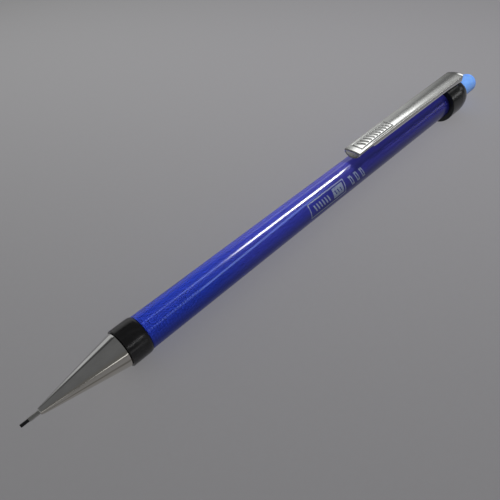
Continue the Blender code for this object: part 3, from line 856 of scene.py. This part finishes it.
def round_front(shape, outer, inner, side_lips):
    """Rounds over the sheet's front edge, and closes its two corners."""
    rims = [outer[0]]
    for turn in (45, 90, 135):
        cosine, sine = math.cos(math.radians(turn)), math.sin(math.radians(turn))
        rim = []
        for a, b in zip(outer[0], inner[0]):
            middle, arm = (a.co + b.co) / 2, (a.co - b.co) / 2
            rim.append(shape.verts.new(middle + arm * cosine + Vector((-arm.length * sine, 0, 0))))
        rims.append(rim)
    rims.append(inner[0])
    for a, b in zip(rims, rims[1:]):
        for j in range(len(a) - 1):
            shape.faces.new((a[j], a[j + 1], b[j + 1], b[j]))
    for lips, j in zip(side_lips, (0, -1)):
        shape.faces.new([rim[j] for rim in rims] + [lips[0]])


def make_clip(look, inside):
    shape = bmesh.new()
    stations = clip_stations()
    outer = clip_skin(shape, stations, 0.0)
    inner = clip_skin(shape, stations, CLIP_SHEET)
    wide = len(outer[0])
    for i in range(len(stations) - 1):
        for j in range(wide - 1):
            shape.faces.new((outer[i][j], outer[i + 1][j], outer[i + 1][j + 1], outer[i][j + 1]))
            face = shape.faces.new((inner[i][j], inner[i][j + 1], inner[i + 1][j + 1], inner[i + 1][j]))
            face.material_index = 1
    left = round_side(shape, outer, inner, 0, 1)
    right = round_side(shape, outer, inner, wide - 1, wide - 2)
    round_front(shape, outer, inner, (left, right))
    clip = finish_mesh("clip_sheet", shape, "clip", look, ["clip"], smooth_angle=42.0)
    clip.data.materials.append(inside)
    tab_half_width, tab_low, tab_high = 1.1, 4.75, 6.2
    low = (CLIP_TAB_STATION - CLIP_SHEET / 2, -tab_half_width, tab_low)
    high = (CLIP_TAB_STATION + CLIP_SHEET / 2, tab_half_width, tab_high)
    soft_block("clip_tab", low, high, 0.08, "clip", look)
    return clip


# ---------------------------------------------------------------- stage


def aim(azimuth, elevation, distance=0.9):
    """A point that far from the middle of the pencil, azimuth from +X towards +Y."""
    a, e = math.radians(azimuth), math.radians(elevation)
    return Vector((math.cos(a) * math.cos(e), math.sin(a) * math.cos(e), math.sin(e))) * distance


def card(name, start, end, width, strength, fades=(0.15, 0.15, 0.3), tint=(1, 1, 1), lit=(), edge=None):
    """A glowing strip between two points, facing the pencil. The camera can't see it.

    Its glow fades over those shares of its length, at its start and its end, and over that share of
    its half width. lit holds the only pieces that it lights: with none, it lights all but the floor.
    A strip with an edge is solid and fades to that level, and any other is see-through.
    """
    centre = (start + end) / 2
    along = (end - start).normalized()
    facing = -centre.normalized()
    across = facing.cross(along).normalized()
    facing = along.cross(across)
    length = (end - start).length
    half = (length / 2, width / 2)
    mesh = bpy.data.meshes.new(name)
    corners = [(-half[0], -half[1], 0), (half[0], -half[1], 0), (half[0], half[1], 0), (-half[0], half[1], 0)]
    mesh.from_pydata(corners, [], [(0, 1, 2, 3)])
    obj = bpy.data.objects.new(name, mesh)
    bpy.context.scene.collection.objects.link(obj)
    obj.matrix_world = Matrix.Translation(centre) @ Matrix((along, across, facing)).transposed().to_4x4()
    look = Look(name, (0, 0, 0), 1.0)
    coords = look.node("ShaderNodeTexCoord").outputs["Object"]
    split = look.node("ShaderNodeSeparateXYZ", {0: coords}).outputs
    sideways = look.math("ABSOLUTE", split["Y"])
    level = look.between(sideways, half[1] * (1 - fades[2]), half[1], 1.0, 0.0)
    for sign, fade in ((1.0, fades[0]), (-1.0, fades[1])):
        inward = look.math("MULTIPLY_ADD", split["X"], sign, half[0])
        level = look.math("MULTIPLY", level, look.between(inward, 0.0, max(fade, 0.01) * length))
    faded = 0.0 if edge is None else edge
    level = look.math("MULTIPLY_ADD", level, strength - faded, faded)
    glow = look.node("ShaderNodeEmission", {"Color": (*tint, 1.0), "Strength": level})
    if edge is None:
        clear = look.node("ShaderNodeBsdfTransparent")
        glow = look.node("ShaderNodeAddShader", {0: glow.outputs[0], 1: clear.outputs[0]})
    out = look.tree.nodes["Material Output"]
    look.tree.links.new(glow.outputs[0], out.inputs["Surface"])
    mesh.materials.append(look.made)
    obj.visible_camera = False
    if lit:
        light_only(obj, lit)
    else:
        obj.light_linking.receiver_collection = all_but_the_floor
    return obj


def light_only(light, pieces):
    """Lets that light reach only those pieces."""
    chosen = bpy.data.collections.new(light.name + "_lights")
    for piece in pieces:
        chosen.objects.link(piece)
    light.light_linking.receiver_collection = chosen


def point(x, y, z, distance=0.9):
    """A point in that direction, that far from the middle of the pencil."""
    return Vector((x, y, z)).normalized() * distance


def area_light(name, where, direction, size, power):
    """A round lamp that neither the camera nor a reflection shows."""
    data = bpy.data.lights.new(name, "AREA")
    data.shape = "DISK"
    data.size = size
    data.energy = power
    obj = bpy.data.objects.new(name, data)
    bpy.context.scene.collection.objects.link(obj)
    obj.location = where
    obj.rotation_euler = Vector(direction).to_track_quat("-Z", "Y").to_euler()
    obj.visible_camera = False
    obj.visible_glossy = False
    return obj


def make_floor():
    mesh = bpy.data.meshes.new("floor")
    reach = 6.0
    mesh.from_pydata(
        [(-reach, -reach, 0), (reach, -reach, 0), (reach, reach, 0), (-reach, reach, 0)], [], [(0, 1, 2, 3)]
    )
    floor = bpy.data.objects.new("floor", mesh)
    bpy.context.scene.collection.objects.link(floor)
    look = Look("floor_paper", (0.52, 0.52, 0.52), 0.9)
    grain = look.noise(0.9, (1, 1, 1), 4.0, 0.6)
    look.set("Base Color", look.mix(grain, (0.515, 0.513, 0.513), (0.53, 0.53, 0.532)))
    look.shader.inputs["Specular IOR Level"].default_value = 0.15
    mesh.materials.append(look.made)
    return floor


def make_world():
    world = bpy.data.worlds.new("studio")
    bpy.context.scene.world = world
    world.use_nodes = True
    tree = world.node_tree
    coords = tree.nodes.new("ShaderNodeTexCoord").outputs["Generated"]
    split = tree.nodes.new("ShaderNodeSeparateXYZ")
    tree.links.new(coords, split.inputs[0])
    ramp = tree.nodes.new("ShaderNodeValToRGB")
    ramp.color_ramp.interpolation = "EASE"
    stops = ramp.color_ramp.elements
    stops[0].position, stops[0].color = 0.0, (0.120, 0.120, 0.120, 1)
    stops[1].position, stops[1].color = 0.7, (0.128, 0.128, 0.128, 1)
    tree.links.new(split.outputs["Z"], ramp.inputs[0])
    tree.links.new(ramp.outputs[0], tree.nodes["Background"].inputs["Color"])


def make_camera():
    """Close over the tip, looking along the pencil: the scene's viewing angle."""
    data = bpy.data.cameras.new("camera")
    data.sensor_width = 36.0
    data.lens = 36.0
    data.clip_start = 0.002
    camera = bpy.data.objects.new("camera", data)
    bpy.context.scene.collection.objects.link(camera)
    right = Vector((0.6857, -0.7240, -0.0753))
    up = Vector((0.5281, 0.4237, 0.7359))
    back = right.cross(up)
    station, across, above = 0.05, -55.79, 68.89
    camera.matrix_world = Matrix.Translation(place(station, across, above)) @ (
        Matrix((right, up, back)).transposed().to_4x4()
    )
    bpy.context.scene.camera = camera


steel = steel_look()
graphite = lead_look()
brass = brass_look()
barrel = make_barrel(barrel_look())
cone = make_cone(cone_look())
sleeve = make_sleeve(steel)
make_leads(graphite)
black = black_look("collar_plastic", (0.016, 0.016, 0.017), 0.2)
collar = make_collar(black)
cap_black = black_look("cap_plastic", (0.018, 0.021, 0.020), 0.17, 1.4)
cap = make_cap(cap_black)
seat = make_seat(cap_black)
clip = make_clip(clip_look(), inside_look())
button = make_button(button_look())
make_holder(holder_look())
make_eraser(eraser_look())
make_spring(steel)
for names, look in (
    (("clutch_ring", "chuck_jaw_1", "chuck_jaw_2", "chuck_jaw_3", "chuck_shank", "tube_connector"), brass),
    (("magazine_tube",), tube_look()),
    (("lead_retainer",), rubber_look()),
):
    for name in names:
        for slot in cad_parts[name].material_slots:
            slot.material = look

floor = make_floor()
make_world()
make_camera()
sky = (0.36, 0.52, 1.0)
all_but_the_floor = bpy.data.collections.new("all_but_the_floor")
all_but_the_floor.objects.link(floor)
all_but_the_floor.collection_objects[0].light_linking.link_state = "EXCLUDE"
card("softbox_side", aim(24, 13), aim(104, 13), 0.50, 0.39, (0.22, 0.1, 0.2))
card("halo", aim(34, 26), aim(62, 32), 0.24, 1.2, (0.1, 0.4, 0.6), lit=[barrel])
card("flag", aim(72, 41), aim(118, 41), 0.24, 0.045, (0.1, 0.1, 0.8), edge=0.12)
card("zenith", Vector((-0.13, 0.0, 0.9)), Vector((-0.01, 0.0, 0.9)), 0.10, 0.5, (0.3, 0.3, 0.5))
card("softbox_high", aim(8, 43), aim(46, 37), 0.30, 2.1, (0.08, 0.55, 0.27), lit=[clip])
card("softbox_mid", aim(-4, 32), aim(28, 30), 0.22, 0.42, (0.15, 0.35, 0.8), lit=[clip])
card("glint", aim(8, 1), aim(8, 23), 0.30, 1.6, (0.1, 0.2, 0.5), lit=[clip])
card("bend_glint", aim(-8, 27), aim(-16, 34), 0.09, 4.5, (0.3, 0.3, 0.5), lit=[clip])
# the strip over the barrel's ridge and its glow keep apart, since cards in one plane hide parts of each other
for name, distance, width, strength, fades in (
    ("strip_top", 0.80, 0.15, 66.0, (0.40, 0.06, 0.35)),
    ("strip_glow", 0.84, 0.45, 1.2, (0.3, 0.1, 0.7)),
):
    start, end = point(0.40, 0.075, 0.90, distance), point(0.70, 0.03, 0.715, distance)
    card(name, start, end, width, strength, fades, lit=[barrel])
start, end = point(0.22, 0.05, 0.97, 0.8), point(0.46, 0.06, 0.88, 0.8)
card("strip_tail", start, end, 0.13, 7.0, (0.2, 0.3, 0.5), sky, lit=[barrel])
start, end = Vector((0.17, -0.75, 0.44)), Vector((0.60, -0.22, 0.68))
card("strip_front", start, end, 0.13, 8.0, (0.3, 0.15, 0.6), sky, lit=[barrel])
card("strip_collar", aim(-86, 33), aim(-70, 35.5), 0.10, 5.0, (0.3, 0.3, 0.5), lit=[collar])
card("strip_low", aim(-42, 11), aim(-22, 16), 0.09, 1.0, (0.75, 0.1, 0.4), lit=[barrel])
card("strip_cap", aim(-50, 8), aim(-10, 16), 0.06, 2.8, (0.2, 0.2, 0.5), lit=[cap])
card("softbox_cap", aim(-16, 29), aim(10, 33), 0.12, 1.3, (0.2, 0.2, 0.6), lit=[cap, seat])
card("horizon", aim(-104.5, 3), aim(-70, 3), 0.10, 0.95, (0.06, 0.15, 0.4), lit=[cone, collar])
card("horizon_front", aim(-150, 3), aim(-107.6, 3), 0.10, 0.75, (0.2, 0.04, 0.4), lit=[cone])
card("tip_glow", aim(130, 12, 1.0), aim(230, 12, 1.0), 0.30, 0.7, (0.2, 0.2, 0.5), lit=[cone, sleeve])
under_clip = area_light("under_clip_fill", (0.036, 0.08, 0.085), (0, -1, -1), 0.03, 0.03)
under_clip.data.spread = math.radians(80)
light_only(under_clip, [barrel])
under_clip.light_linking.blocker_collection = under_clip.light_linking.receiver_collection
light_only(area_light("mouth_fill", (-0.06, -0.03, 0.03), (0.73, 0.30, -0.195), 0.02, 0.11), [clip])
light_only(area_light("button_fill", (0.12, -0.17, 0.56), (-0.05, 0.17, -0.56), 0.25, 3.5), [button])
for name, x, y, power, tint in (
    ("floor_wash_far", 0.0, 0.20, 0.212, (1.0, 1.0, 1.0)),
    ("floor_wash_near", 0.10, 0.0, 0.212, (1.0, 0.98, 1.05)),
):
    wash = area_light(name, (x, y, 0.25), (0, 0, -1), 0.10, power)
    wash.data.color = tint
    light_only(wash, [floor])
    wash.light_linking.blocker_collection = wash.light_linking.receiver_collection
bpy.context.scene.view_settings.view_transform = "Standard"
